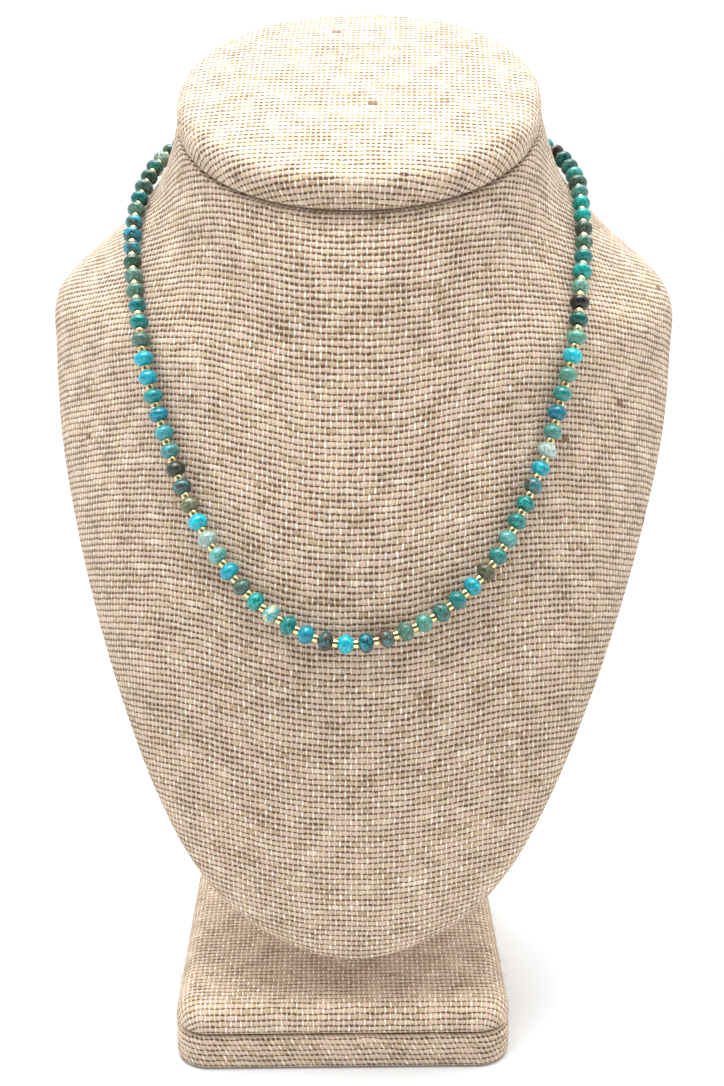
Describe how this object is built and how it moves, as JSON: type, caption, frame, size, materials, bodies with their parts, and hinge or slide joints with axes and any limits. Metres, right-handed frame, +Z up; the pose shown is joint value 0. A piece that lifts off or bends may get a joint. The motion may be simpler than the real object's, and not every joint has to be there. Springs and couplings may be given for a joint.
{
  "type": "beaded necklace on neck bust",
  "caption": "Short necklace of round stone beads and small metal spacers, laid on a cloth-covered neck bust with a padded cap and a two-layer base.",
  "frame": {"origin": "under the middle of the object, on the surface that the base rests on", "axes": "+Z up, the chest and the lowest bead face -Y, +X is the wearer's left"},
  "size_m": [0.1416, 0.102, 0.2226],
  "materials": {
    "burlap": "coarse plain weave, matte",
    "stone": "polished turquoise and matrix",
    "gold": "polished gold plate"
  },
  "bodies": {
    "root": {"neck_bust": "burlap", "neck_cap": "burlap", "base_board": "burlap", "base_pad": "burlap", "support_post": "burlap", "bead_string_left": "stone", "bead_string_right": "stone", "clasp": "gold"}
  },
  "joints": []
}
